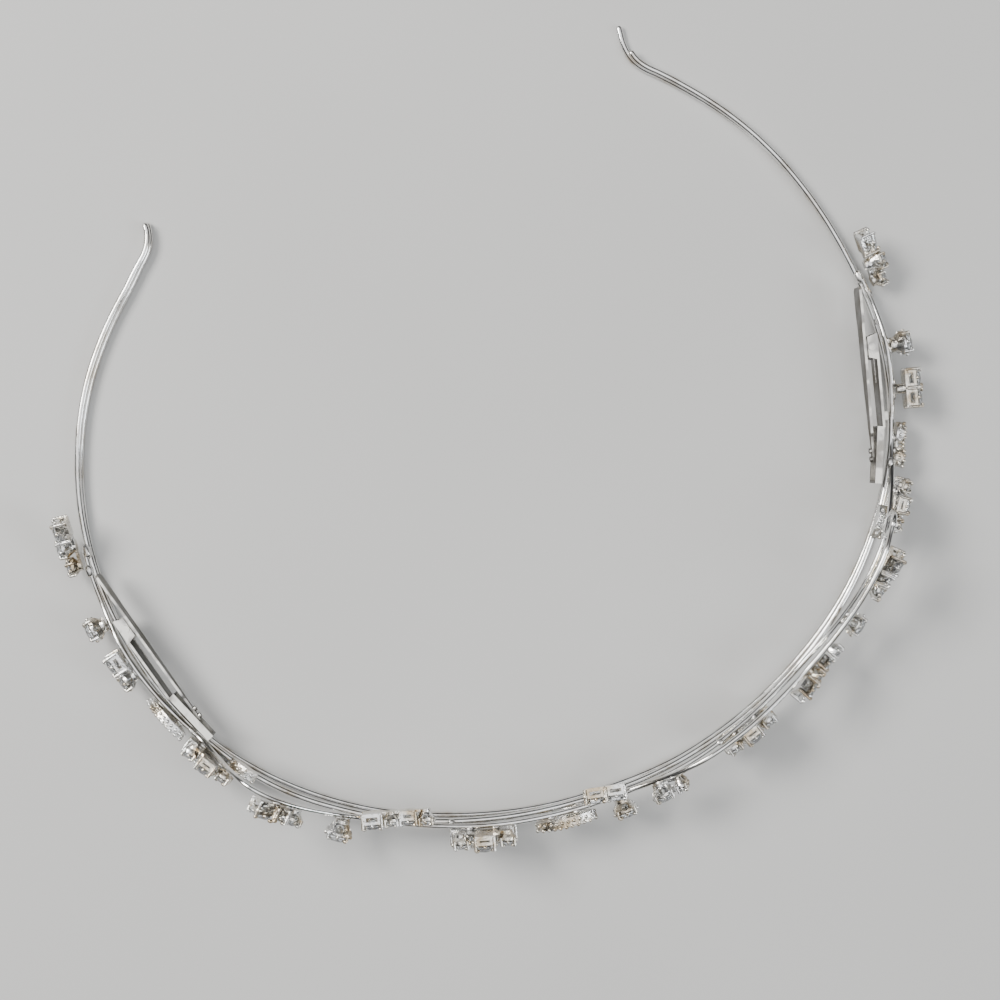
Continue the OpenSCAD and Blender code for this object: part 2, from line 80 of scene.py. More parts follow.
LOW_VINE = ((-113, 2.0), (-106, 2.1), (-94, 5.0), (-64, 2.6), (-42, 4.0), (-20, 2.8), (8, 9.4),
            (34, 6.4), (57, 11.6), (79, 3.2), (91, 4.6), (104, 2.0))
HIGH_VINE = ((-78, 4.0), (-64, 14), (-43, 5.2), (-20, 7.6), (-3, 7.7), (14, 14), (34, 12),
             (57, 15.4), (62, 14))
END_LOOP = (62, 12, 2)
BEADS = ((-113, 1.9, 0.6, 1.9), (104, 1.9, 0.6, 1.9), (-78, 3.9, 0.9, 1.4), (-43, 5.3, 0.6, 1.5),
         (62, 14, 0.9, 1.3), (-10, 5.5, 0.6, 1.4), (72, 5.2, 0.6, 1.4), (-50, 3.2, 0.9, 1.2),
         (-101, 1.7, 0.7, 1.3), (96, 1.8, 0.8, 1.3))


def arc_step(p, r, s):
    """From a place and heading (x, y, angle) on along an arc."""
    a = p[2] + s / r
    return (p[0] + r * (math.sin(a) - math.sin(p[2])), p[1] + r * (math.cos(p[2]) - math.cos(a)), a)


def along(arcs, s):
    """Place and heading at a length along a chain of arcs."""
    p = (0.0, 0.0, 0.0)
    for i, (r, length) in enumerate(arcs):
        if i == len(arcs) - 1 or s <= length:
            return arc_step(p, r, s)
        p = arc_step(p, r, length)
        s -= length


def band(s):
    """Place and heading on the band at s."""
    if s >= 0:
        return along(RIGHT_ARCS, s)
    x, y, h = along(LEFT_ARCS, -s)
    return (-x, y, -h)


def outward(s):
    """The direction out of the band at s."""
    h = band(s)[2]
    return Vector((math.sin(h), -math.cos(h), 0))


def band_point(s, out, z):
    x, y, h = band(s)
    return Vector((x + out * math.sin(h) - MIDDLE[0], y - out * math.cos(h) - MIDDLE[1], z))


def ease(t):
    return (1 - math.cos(math.pi * max(0.0, min(1.0, t)))) / 2


def wave(table, s):
    """The value of a table at s, eased from one of its rows to the next."""
    i = 0
    while i < len(table) - 2 and s > table[i + 1][0]:
        i += 1
    a, b = table[i], table[i + 1]
    return a[1] + (b[1] - a[1]) * ease((s - a[0]) / (b[0] - a[0]))


def upper_base_z(s):
    stacked = BASE_D * 1.5 - STACK_SUNK
    return stacked + (UPPER_Z - stacked) * ease((RISE_START - abs(s)) / (RISE_START - RISE_END))


# Materials


class Nodes:
    """Short ways to add and join the nodes of one material."""

    def __init__(self, name):
        self.mat = bpy.data.materials.new(name)
        self.mat.use_nodes = True
        self.tree = self.mat.node_tree
        self.shader = self.tree.nodes["Principled BSDF"]

    def add(self, kind, inputs=None, **settings):
        node = self.tree.nodes.new(kind)
        for key, value in settings.items():
            setattr(node, key, value)
        for key, value in (inputs or {}).items():
            if isinstance(value, bpy.types.NodeSocket):
                self.tree.links.new(value, node.inputs[key])
            else:
                node.inputs[key].default_value = value
        return node

    def set(self, key, value):
        if isinstance(value, bpy.types.NodeSocket):
            self.tree.links.new(value, self.shader.inputs[key])
        else:
            self.shader.inputs[key].default_value = value

    def noise(self, vector, scale, detail=3.0, roughness=0.5):
        node = self.add("ShaderNodeTexNoise", {"Vector": vector, "Scale": scale, "Detail": detail,
                                               "Roughness": roughness})
        return node.outputs["Fac"]

    def stretch(self, vector, scale, turn=0.0):
        node = self.add("ShaderNodeMapping", {"Vector": vector, "Scale": scale,
                                              "Rotation": (0, 0, turn)})
        return node.outputs["Vector"]

    def spread(self, value, low, high, to_low, to_high):
        node = self.add("ShaderNodeMapRange", {"Value": value, "From Min": low, "From Max": high,
                                               "To Min": to_low, "To Max": to_high})
        return node.outputs["Result"]

    def ramp(self, value, *stops):
        node = self.add("ShaderNodeValToRGB", {"Fac": value})
        elements = node.color_ramp.elements
        while len(elements) < len(stops):
            elements.new(0.5)
        for element, (place, colour) in zip(elements, stops):
            element.position = place
            element.color = (*colour, 1)
        return node.outputs["Color"]

    def bump(self, height, strength, distance):
        node = self.add("ShaderNodeBump", {"Height": height, "Strength": strength,
                                           "Distance": distance})
        self.set("Normal", node.outputs["Normal"])


def coordinates(n, kind):
    """A kind of place on a piece, such as its own coordinates."""
    return n.add("ShaderNodeTexCoord").outputs[kind]


def wire_metal():
    """Bright drawn wire: fine lines along it, a few dull patches and warm stains."""
    n = Nodes("drawn_silver_wire")
    uv = coordinates(n, "UV")
    place = coordinates(n, "Object")
    lines = n.noise(n.stretch(uv, (0.3, 11.0, 1.0)), 1.0, 4.0, 0.6)
    patches = n.noise(place, 190.0, 4.0, 0.6)
    n.set("Base Color", n.ramp(patches, (0.3, (0.50, 0.45, 0.38)), (0.46, (0.72, 0.71, 0.69)),
                               (0.72, (0.88, 0.89, 0.89))))
    n.set("Metallic", 1.0)
    n.set("Roughness", n.spread(lines, 0.3, 0.75, 0.08, 0.24))
    n.bump(lines, 0.35, 0.00004)
    return n.mat


def solder_metal():
    """Solder: a little greyer and rougher than the wire, and lumpy."""
    n = Nodes("silver_solder")
    place = coordinates(n, "Object")
    lumps = n.noise(place, 1100.0, 3.0, 0.55)
    n.set("Base Color", n.ramp(lumps, (0.3, (0.55, 0.53, 0.50)), (0.7, (0.80, 0.80, 0.79))))
    n.set("Metallic", 1.0)
    n.set("Roughness", n.spread(lumps, 0.3, 0.7, 0.16, 0.36))
    n.bump(lumps, 0.5, 0.00012)
    return n.mat


def setting_metal():
    """Cast and plated cups: bright, a little uneven, with warm patches that are partly the
    plating's tone and partly a painted warm reflection.
    """
    n = Nodes("plated_setting")
    place = coordinates(n, "Object")
    patches = n.noise(place, 230.0, 3.0, 0.55)
    grain = n.noise(place, 1300.0, 3.0, 0.5)
    # The warm and brown patches are partly the plating's tone and partly a painted warm reflection
    n.set("Base Color", n.ramp(patches, (0.34, (0.52, 0.43, 0.31)), (0.46, (0.72, 0.68, 0.60)),
                               (0.58, (0.88, 0.88, 0.87))))
    n.set("Metallic", 1.0)
    n.set("Roughness", n.spread(grain, 0.3, 0.7, 0.1, 0.26))
    n.bump(grain, 0.8, 0.00022)
    return n.mat


def clip_metal():
    """Sheet with the fine lines of rolling along it, dark as painted shade, with a painted
    highlight on its upward-facing surfaces broken up by patches of wear.
    """
    n = Nodes("rolled_clip_sheet")
    place = coordinates(n, "Object")
    lines = n.noise(n.stretch(place, (4200.0, 260.0, 4200.0), 0.12), 1.0, 4.0, 0.6)
    patches = n.noise(place, 300.0, 2.0, 0.5)
    # The dark base is partly the sheet's own random tone and partly painted shade for dark
    # reflections
    dull_and_painted_shade = n.ramp(patches, (0.3, (0.24, 0.225, 0.195)), (0.5, (0.33, 0.32, 0.305)),
                  (0.72, (0.46, 0.455, 0.45)))
    # Surfaces that face up are painted lighter, a painted highlight broken up by patches of wear
    turned = n.add("ShaderNodeSeparateXYZ", {"Vector": coordinates(n, "Normal")})
    painted_top_highlight_mask = n.spread(turned.outputs["Z"], 0.55, 0.8, 0.0, 1.0)
    wear = n.spread(n.noise(place, 360.0, 2.0, 0.5), 0.42, 0.56, 0.12, 1.0)
    painted_highlight_and_wear_mask = n.add("ShaderNodeMath", {0: painted_top_highlight_mask, 1: wear}, operation="MULTIPLY")
    painted_highlight_and_wear = n.add("ShaderNodeMix", {0: painted_highlight_and_wear_mask.outputs[0], 6: dull_and_painted_shade, 7: (0.86, 0.84, 0.78, 1)},
                 data_type="RGBA")
    n.set("Base Color", painted_highlight_and_wear.outputs[2])
    n.set("Metallic", 1.0)
    n.set("Specular Tint", (0.45, 0.45, 0.45, 1))
    n.set("Roughness", n.spread(lines, 0.3, 0.7, 0.24, 0.42))
    n.bump(lines, 0.2, 0.00003)
    return n.mat


def spring_metal():
    """Grey spring wire, rougher than the sheet round it."""
    n = Nodes("spring_wire")
    place = coordinates(n, "Object")
    grain = n.noise(place, 1800.0, 3.0, 0.6)
    n.set("Base Color", n.ramp(grain, (0.3, (0.34, 0.33, 0.31)), (0.7, (0.62, 0.61, 0.59))))
    n.set("Metallic", 1.0)
    n.set("Roughness", n.spread(grain, 0.3, 0.7, 0.2, 0.4))
    return n.mat


def stone_glass():
    """Clear cut glass, a little milky, with hardly any wear on its facets."""
    n = Nodes("cut_glass")
    place = coordinates(n, "Object")
    wear = n.noise(place, 1500.0, 3.0, 0.6)
    n.set("Base Color", n.ramp(wear, (0.3, (0.96, 0.98, 0.99)), (0.7, (1.0, 1.0, 1.0))))
    n.set("Roughness", n.spread(wear, 0.35, 0.8, 0.0, 0.04))
    n.set("IOR", 1.65)
    n.set("Transmission Weight", 0.92)
    return n.mat


def stone_foil():
    """The bright foil on the back of each stone."""
    n = Nodes("stone_foil")
    place = coordinates(n, "Object")
    patches = n.noise(place, 700.0, 2.0, 0.5)
    n.set("Base Color", n.ramp(patches, (0.3, (0.90, 0.93, 0.94)), (0.7, (0.99, 0.99, 0.99))))
    n.set("Metallic", n.spread(patches, 0.3, 0.7, 0.82, 0.98))
    n.set("Roughness", n.spread(patches, 0.3, 0.7, 0.02, 0.12))
    return n.mat


# Making pieces


UNEVEN = 0.12
UNEVEN_SCALE = 1.7
CAP_ANGLES = (12, 30, 48, 66)


class Shape:
    """Collects faces in millimetres and makes them one object in metres."""

    def __init__(self):
        self.bm = bmesh.new()
        self.uv = self.bm.loops.layers.uv.new("UVMap")

    def face(self, corners, material=0, smooth=True, uvs=None):
        f = self.bm.faces.new(corners)
        f.material_index = material
        f.smooth = smooth
        if uvs:
            for loop, uv in zip(f.loops, uvs):
                loop[self.uv].uv = uv

    def points(self, places):
        return [self.bm.verts.new(p) for p in places]

    def make(self, name, *materials):
        bmesh.ops.recalc_face_normals(self.bm, faces=self.bm.faces[:])
        mesh = bpy.data.meshes.new(name)
        self.bm.to_mesh(mesh)
        self.bm.free()
        mesh.transform(Matrix.Scale(MM, 4))
        for material in materials:
            mesh.materials.append(material)
        piece = bpy.data.objects.new(name, mesh)
        bpy.context.scene.collection.objects.link(piece)
        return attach(piece, TIARA)


def tube(shape, path, sides):
    """A round wire. A path's rows: place, outward direction, radius. Its ends are closed flat, and
    look rounded where the path's radius shrinks towards them.
    """
    last = len(path) - 1
    rings = []
    run = 0.0
    for j, (p, out, r) in enumerate(path):
        t = (path[min(last, j + 1)][0] - path[max(0, j - 1)][0]).normalized()
        side = (out - t * out.dot(t)).normalized()
        up = t.cross(side)
        if j:
            run += (p - path[j - 1][0]).length
        turns = [2 * math.pi * i / sides for i in range(sides)]
        rings.append((run, shape.points([p + r * (math.cos(a) * side + math.sin(a) * up)
                                         for a in turns])))
    for (run_a, a), (run_b, b) in zip(rings, rings[1:]):
        for i in range(sides):
            k = (i + 1) % sides
            v, w = i / sides, (i + 1) / sides
            shape.face([a[i], b[i], b[k], a[k]],
                       uvs=[(run_a, v), (run_b, v), (run_b, w), (run_a, w)])
    shape.face(rings[0][1])
    shape.face(rings[-1][1])


def stations(start, end, step, radius):
    """Places along a wire and the radius there, closer together in its rounded ends."""
    caps = [math.radians(a) for a in CAP_ANGLES]
    n = math.ceil((end - start - 2 * radius) / step)
    rows = [(start + radius * (1 - math.cos(a)), radius * math.sin(a)) for a in caps]
    rows += [(start + radius + (end - start - 2 * radius) * i / n, radius) for i in range(n + 1)]
    rows += [(end - radius * (1 - math.cos(a)), radius * math.sin(a)) for a in reversed(caps)]
    return rows


def band_wire(shape, start, end, out_at, z_at, radius, sides, step=0.8):
    tube(shape, [(band_point(s, out_at(s), z_at(s)), outward(s), r)
                 for s, r in stations(start, end, step, radius)], sides)


def drop(shape, middle, along_by, out_by, radii, seed, detail=3):
    """A drop of solder: an uneven ball drawn out along the band."""
    ball = bmesh.new()
    bmesh.ops.create_icosphere(ball, subdivisions=detail, radius=1.0)
    up = along_by.cross(out_by)
    places = []
    for v in ball.verts:
        swell = 1 + UNEVEN * mnoise.noise(v.co * UNEVEN_SCALE + Vector((seed * 3.1, seed, 0)))
        q = v.co * swell
        places.append(middle + along_by * q.x * radii[0] + out_by * q.y * radii[1]
                      + up * q.z * radii[2])
    points = shape.points(places)
    for f in ball.faces:
        shape.face([points[v.index] for v in f.verts])
    ball.free()


def direction(s):
    """The band's direction at s."""
    h = band(s)[2]
    return Vector((math.cos(h), math.sin(h), 0))


WIRE = wire_metal()
SOLDER = solder_metal()
SETTING = setting_metal()
CLIP = clip_metal()
SPRING = spring_metal()
GLASS = stone_glass()
FOIL = stone_foil()

# Wires

BASE_SIDES = 24
VINE_SIDES = 18
VINE_STEP = 0.6
LOOP_STEPS = 40
DROP_LONG = 0.72
DROP_THICK = 0.41

base = Shape()
band_wire(base, LEFT_END, RIGHT_END, lambda s: wave(LOWER_OUT, s), lambda s: BASE_D / 2,
          BASE_D / 2, BASE_SIDES)
band_wire(base, LEFT_END, RIGHT_END - UPPER_SHORTER, lambda s: wave(UPPER_OUT, s), upper_base_z,
          BASE_D / 2, BASE_SIDES)
base_wires = base.make("base_wires", WIRE)

vines = Shape()
for heights in (LOW_VINE, HIGH_VINE):
    band_wire(vines, heights[0][0], heights[-1][0], lambda s: VINE_OUT,
              lambda s, t=heights: wave(t, s), VINE_D / 2, VINE_SIDES, VINE_STEP)
loop_s, loop_z, loop_r = END_LOOP
loop_middle = band_point(loop_s, VINE_OUT, loop_z)
loop_path = []
for i in range(LOOP_STEPS + 1):
    a = 2 * math.pi * i / LOOP_STEPS
    away = direction(loop_s) * math.cos(a) + Vector((0, 0, 1)) * math.sin(a)
    loop_path.append((loop_middle + loop_r * away, away, VINE_D / 2))
tube(vines, loop_path, VINE_SIDES)
vine_wires = vines.make("vine_wires", WIRE)

solder = Shape()
for i, (s, z, out, d) in enumerate(BEADS):
    drop(solder, band_point(s, out, z), direction(s), outward(s),
         (d * DROP_LONG, d * DROP_THICK, d * DROP_THICK), i)
solder_drops = solder.make("solder_drops", SOLDER)
for piece in (base_wires, vine_wires, solder_drops):
    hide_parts("wire_frame")

# Motifs. Rows of one motif: kind of stone, size, u along the motif, v up it, lift off its back

CUP_DEPTH = 2.1
PLATE_T = 1.5
STONE_INSET = 0.18
ROUND_SHARE = 0.96
GRAIN_PITCH = 1.74
GRAIN_ROW = 0.9
LOBE_AT = 2.1
PETAL_AT = 4.0
ROUND, SQUARE, BAR, GRAIN = "round", "square", "bar", "grain"
TRIO = ((SQUARE, 3.2, -3.6, 0.4, 0.1), (ROUND, 3.5, -0.1, -0.3, 0.5),
        (ROUND, 3.0, 3.3, 0.4, -0.1))
SINGLE = ((ROUND, 3.8, 0, 0, 0.2),)
SOLITAIRE = ((ROUND, 4.2, 0, 0, 0.6),)
MIXED_PAIR = ((SQUARE, 3.1, -1.9, 0.3, 0.1), (ROUND, 3.6, 1.6, -0.2, 0.1))
SQUARE_PAIR = ((SQUARE, 3.0, -1.65, 0, 0.2), (SQUARE, 3.0, 1.65, 0, 0.2))
BAR_GROUP = ((SQUARE, 3.2, -3.1, 0, 0.3), (BAR, 3.8, -0.3, 0, 0), (ROUND, 3.4, 2.6, -0.1, 0))
ROW = ((SQUARE, 3.2, -4.5, 0, 0.2), (ROUND, 2.8, -1.3, 0.2, 0), (SQUARE, 2.6, 1.6, 0, 0),
       (ROUND, 3.0, 4.6, 0.1, 0.2))
STEP = ((SQUARE, 3.1, -1.7, 0, 0), (SQUARE, 3.1, 1.7, 0, 0))
RING = ((ROUND, 4.0, -1.3, 0, 0.3), (ROUND, 2.0, 2.0, 1.2, 0.1), (ROUND, 2.0, 2.2, -1.2, 0.1))
FLOWER = ((ROUND, 3.8, 0, 0, 0.6),) + tuple(
    (ROUND if i % 2 == 0 else SQUARE, 2.7, PETAL_AT * math.cos(math.radians(30 + 60 * i)),
     PETAL_AT * math.sin(math.radians(30 + 60 * i)), -0.3) for i in range(6))
LEAF = ((GRAIN, 1.2, -3.9, 0, 0), (GRAIN, 1.2, 3.9, 0, 0)) + tuple(
    (GRAIN, 1.3, GRAIN_PITCH * (i - 1.5), v, 0)
    for i in range(4) for v in (-GRAIN_ROW, GRAIN_ROW))
BUD = tuple((GRAIN, 1.15, 1.5 * i, 0, 0) for i in (-1, 0, 1))
LOBES = tuple((GRAIN, 1.25, u + 1.6 * i, 0, 0) for u in (-LOBE_AT, LOBE_AT) for i in (-0.5, 0.5))

# Name, rows, s, z, out, tilt in its own plane, size, lean upward and swing about the vertical

MOTIFS = (
    ("trio_left", TRIO, -114.3, 4.6, MOTIF_OUT, -22, 1, 0, 0),
    ("single_left", SINGLE, -100.8, 4.6, MOTIF_OUT, 0, 1.1, 0, 0),
    ("pair_left", MIXED_PAIR, -92.7, 5.0, MOTIF_OUT, -8, 1, 0, 0),
    ("leaf_left", LEAF, -82.6, 4.4, MOTIF_OUT, 20, 0.87, 0, 0),
    ("flower_left", FLOWER, -72.8, 6.4, MOTIF_OUT, 0, 0.98, 0, 0),
    ("bud_left", BUD, -67.5, 8.2, -0.6, 24, 1, 0, 0),
    ("bar_left", BAR_GROUP, -59.1, 12.1, MOTIF_OUT, -28, 1, 0, 0),
    ("solitaire_left", SOLITAIRE, -49.3, 7.4, MOTIF_OUT, 0, 1.06, 0, 0),
    ("row_left", ROW, -40.4, 8.7, -1.9, 3, 0.97, 0, 11),
    ("flower_front_left", FLOWER, -26.1, 7.0, MOTIF_OUT, 0, 1.12, 0, 0),
    ("leaf_front", LEAF, -12.5, 6.9, MOTIF_OUT + 0.2, 6, 1, 0, 0),
    ("step_front", STEP, -4.9, 10.6, -1.9, 0, 1, 10, -12),
    ("single_front", SINGLE, -2.8, 6.1, MOTIF_OUT + 0.6, 0, 1.08, 0, 0),
    ("ring_front", RING, 5.0, 9.8, MOTIF_OUT, 8, 1, 0, 0),
    ("flower_front_right", FLOWER, 20.8, 7.0, MOTIF_OUT, 0, 1.04, 0, 0),
    ("row_right", ROW, 35.7, 9.8, MOTIF_OUT, -25, 0.97, 0, 0),
    ("solitaire_right", SOLITAIRE, 45.1, 8.6, MOTIF_OUT, 0, 0.97, 0, 0),
    ("bar_right", BAR_GROUP, 53.7, 12.6, MOTIF_OUT, 208, 1, 0, 0),
    ("bud_right", BUD, 62.0, 7.7, -0.5, 0, 1, 0, 0),
    ("flower_right", FLOWER, 65.4, 6.6, MOTIF_OUT, 0, 0.94, 0, 0),
    ("leaf_right", LOBES, 75.2, 3.6, MOTIF_OUT, -8, 0.95, 0, 0),
    ("pair_right", SQUARE_PAIR, 84.3, 4.6, MOTIF_OUT + 1.3, 0, 1, 0, 0),
    ("single_right", SINGLE, 91.6, 4.6, MOTIF_OUT + 0.2, 0, 1.12, 0, 0),
    ("trio_right", TRIO, 105.4, 4.6, MOTIF_OUT + 0.4, 202, 1, 0, 0),
)


def motif_matrix(m):
    """From a motif's own flat drawing to its place on the band."""
    _, _, s, z, out, tilt, size, lean, swing = m
    return (Matrix.Translation(band_point(s, out, z))
            @ Matrix.Rotation(band(s)[2] + math.radians(swing), 4, "Z")
            @ Matrix.Rotation(math.radians(90 - lean), 4, "X")
            @ Matrix.Rotation(math.radians(tilt), 4, "Z") @ Matrix.Scale(size, 4))


def ring(count, turn, radius, z):
    """Places round a circle, turned by a part of a step."""
    return [Vector((radius * math.cos(2 * math.pi * (i + turn) / count),
                    radius * math.sin(2 * math.pi * (i + turn) / count), z)) for i in range(count)]


# A round cut's levels: radius and height as shares of its girdle's radius

TABLE_LEVEL = (0.56, 0.4)
STAR_LEVEL = (0.78, 0.25)
GIRDLE_LEVEL = (1.0, -0.1)
BELLY_LEVEL = (0.46, -0.55)
TIP_LEVEL = -0.92


def brilliant(shape, place, r):
    """A round cut: table, stars, kites, girdle, and a foiled pavilion."""

    def level(count, turn, shares):
        return shape.points([place @ p for p in ring(count, turn, shares[0] * r, shares[1] * r)])

    table = level(8, 0, TABLE_LEVEL)
    mid = level(8, 0.5, STAR_LEVEL)
    top = level(16, 0, (1.0, 0.0))
    low = level(16, 0, GIRDLE_LEVEL)
    belly = level(8, 0.5, BELLY_LEVEL)
    tip = shape.points([place @ Vector((0, 0, TIP_LEVEL * r))])[0]
    shape.face(table, 0, False)
    for i in range(8):
        k = (i + 1) % 8
        before = (i - 1) % 8
        a, half, b = top[2 * i], top[2 * i + 1], top[(2 * i + 2) % 16]
        shape.face([table[i], mid[i], table[k]], 0, False)
        shape.face([table[i], mid[before], a, mid[i]], 0, False)
        shape.face([mid[i], a, half], 0, False)
        shape.face([mid[i], half, b], 0, False)
        la, lhalf, lb = low[2 * i], low[2 * i + 1], low[(2 * i + 2) % 16]
        shape.face([a, half, lhalf, la], 0, False)
        shape.face([half, b, lb, lhalf], 0, False)
        shape.face([la, lhalf, belly[i]], 1, False)
        shape.face([lhalf, lb, belly[i]], 1, False)
        shape.face([la, belly[i], tip, belly[before]], 1, False)


# A step cut's levels: share of its half width, height as a share of its width, and material

STEP_LEVELS = ((0.60, 0.19, 0), (0.80, 0.13, 0), (1.0, 0.0, 0), (1.0, -0.05, 0), (0.74, -0.22, 1),
               (0.42, -0.36, 1), (0.06, -0.455, 1))
CORNER_CUT = 0.3


def step_outline(x, y, z):
    """A rectangle with cut corners."""
    c = min(x, y) * CORNER_CUT
    return [Vector(p) for p in ((x, y - c, z), (x - c, y, z), (c - x, y, z), (-x, y - c, z),
                                (-x, c - y, z), (c - x, -y, z), (x - c, -y, z), (x, c - y, z))]


def step_cut(shape, place, x, y):
    """A square or long cut with two steps above and three foiled ones below."""
    w = 2 * min(x, y)
    rings = []
    for part, height, material in STEP_LEVELS:
        inset = (1 - part) * min(x, y)
        rings.append((shape.points([place @ p for p in step_outline(x - inset, y - inset,
                                                                    height * w)]), material))
    shape.face(rings[0][0], 0, False)
    for (a, _), (b, material) in zip(rings, rings[1:]):
        for i in range(8):
            k = (i + 1) % 8
            shape.face([a[i], b[i], b[k], a[k]], material, False)
    shape.face(rings[-1][0], 1, False)


for m in MOTIFS:
    shape = Shape()
    for kind, size, u, v, lift in m[1]:
        rim = PLATE_T if kind == GRAIN else CUP_DEPTH + lift
        place = motif_matrix(m) @ Matrix.Translation((u, v, rim))
        inset = 0 if kind == GRAIN else STONE_INSET
        if kind in (ROUND, GRAIN):
            brilliant(shape, place, ROUND_SHARE * (size / 2 - inset))
        elif kind == SQUARE:
            step_cut(shape, place, size / 2 - inset, size / 2 - inset)
        else:
            step_cut(shape, place, size / 4 - inset, size / 2 - inset)
    stones = shape.make(m[0] + "_cut_stones", GLASS, FOIL)
    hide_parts(m[0] + "_stones")

# Claws of metal that lean over the edges of the stones in their cups

CLAW_RISE = 0.36
CLAW_IN = 0.24
CLAW_RADII = (0.42, 0.36, 0.33)
STUD_DROP = 0.18
STUD_IN = 0.1
STUD_RADII = (0.3, 0.27, 0.36)


def claw_rows(kind, size):
    """Claws over a cup's corners, and studs on the middles of its walls: place and kind."""
    half_u, half_v = (size / 4 if kind == BAR else size / 2), size / 2
    corner = math.sqrt(0.5) if kind == ROUND else 1
    rows = []
    for x, y in ((-1, -1), (-1, 1), (1, -1), (1, 1)):
        rows.append((x * (half_u * corner - CLAW_IN), y * (half_v * corner - CLAW_IN), CLAW_RISE,
                     (-x, -y), CLAW_RADII))
    for x, y in ((-1, 0), (1, 0), (0, -1), (0, 1)):
        rows.append((x * (half_u - STUD_IN), y * (half_v - STUD_IN), -STUD_DROP,
                     (-x, -y), STUD_RADII))
    return rows


for i, m in enumerate(MOTIFS):
    cups = [row for row in m[1] if row[0] != GRAIN]
    if not cups:
        continue
    shape = Shape()
    place = motif_matrix(m)
    turn = place.to_3x3()
    for kind, size, u, v, lift in cups:
        for x, y, rise, (lean_x, lean_y), radii in claw_rows(kind, size):
            middle = place @ Vector((u + x, v + y, CUP_DEPTH + lift + rise))
            inward = (turn @ Vector((lean_x, lean_y, 0))).normalized()
            across = (turn @ Vector((-lean_y, lean_x, 0))).normalized()
            drop(shape, middle, inward, across, radii, i + u + x + v * y, 2)
    claws = shape.make(m[0] + "_claws", SETTING)

# Small beads of metal between the stones of the leaves and buds


def rim_half(length, width, u):
    """Half the width of a marquise plate at u, where its two arcs are."""
    r = (length * length / 4 + width * width / 4) / width
    return math.sqrt(r * r - u * u) - (r - width / 2)


RIM_BEAD_PITCH = 1.05
RIM_END = 0.25
RIM_BEAD_IN = 0.12
RIM_BEAD_SUNK = 0.02
LOW_BEAD_Z = 0.62
BEAD_RADIUS = 0.34


def plate_beads(table):
    """Beads on a leaf's plates (middle, length, width): between its stones, and round the rim."""
    if table is LEAF:
        plates = ((0, 10.6, 4.6),)
        inner = [(GRAIN_PITCH * (i - 1), v) for i in range(3) for v in (-GRAIN_ROW, GRAIN_ROW)]
        inner += [(GRAIN_PITCH * (i - 1.5), 0) for i in range(4)]
    elif table is BUD:
        plates = ((0, 5.6, 2.4),)
        inner = [(-0.75, 0), (0.75, 0)]
    else:
        plates = ((-LOBE_AT, 4.0, 2.5), (LOBE_AT, 4.0, 2.5))
        inner = []
    beads = [(u, v, PLATE_T) for u, v in inner]
    for middle, length, width in plates:
        count = round(length / RIM_BEAD_PITCH)
        reach = length / 2 - RIM_END
        for i in range(count + 1):
            u = reach * (2 * i / count - 1)
            half = rim_half(length, width, u)
            for side in (-1, 1):
                beads.append((middle + u, side * (half - RIM_BEAD_IN), PLATE_T - RIM_BEAD_SUNK))
                if i < count:
                    mid = u + reach / count
                    beads.append((middle + mid, side * rim_half(length, width, mid), LOW_BEAD_Z))
    return beads


for i, m in enumerate(MOTIFS):
    if m[1] in (LEAF, BUD, LOBES):
        shape = Shape()
        for u, v, w in plate_beads(m[1]):
            place = motif_matrix(m) @ Vector((u, v, w))
            drop(shape, place, direction(m[2]), outward(m[2]), (BEAD_RADIUS,) * 3, i + u + v, 2)
        beads = shape.make(m[0] + "_beads", SETTING)

# Solder that joins the motifs to the wires behind them

INNER_JOINT_OUT = 0.35
INNER_JOINT_RISE = 0.5
INNER_JOINT_RADII = (0.9, 0.55, 0.45)
JOINT_OUT = VINE_OUT + 0.38
JOINT_RADII = (0.75, 0.34, 0.5)


def joint_reach(table):
    """How far from a motif's middle it still meets the vines."""
    if len(table) > 5:
        return 4.2
    return 2.2 if len(table) > 1 else 1.4


# Larger lumps of solder on the wires (s, out, z, size)

SOLDER_LUMPS = ((-109.9, 1.0, 2.1, 1.5), (-31.3, 0.3, 5.9, 0.9), (15.8, 0.95, 8.8, 1.1),
                (59.6, 0.7, 5.6, 0.9), (100.7, 1.05, 2.1, 1.4))
LUMP_LONG = 0.8
LUMP_THICK = 0.5

# Legs that carry row_left, step_front, bud_left and bud_right over the band: foot on a wire and
# head in a setting (s, out, z)

LEGS = (((-44.6, 0.3, 5.8), (-44.7, 0.2, 7.1)), ((-36.3, 0.1, 5.7), (-36.1, -0.9, 7.65)),
        ((-6.2, 0.75, 7.8), (-6.4, -0.5, 9.35)), ((-3.6, 0.8, 7.85), (-3.4, 0.0, 9.4)),
        ((-67.5, 0.35, 4.8), (-67.5, 0.2, 7.3)), ((62.0, 0.4, 5.3), (62.0, 0.3, 6.8)))
LEG_RADII = (0.4, 0.34)
LEG_SIDES = 12

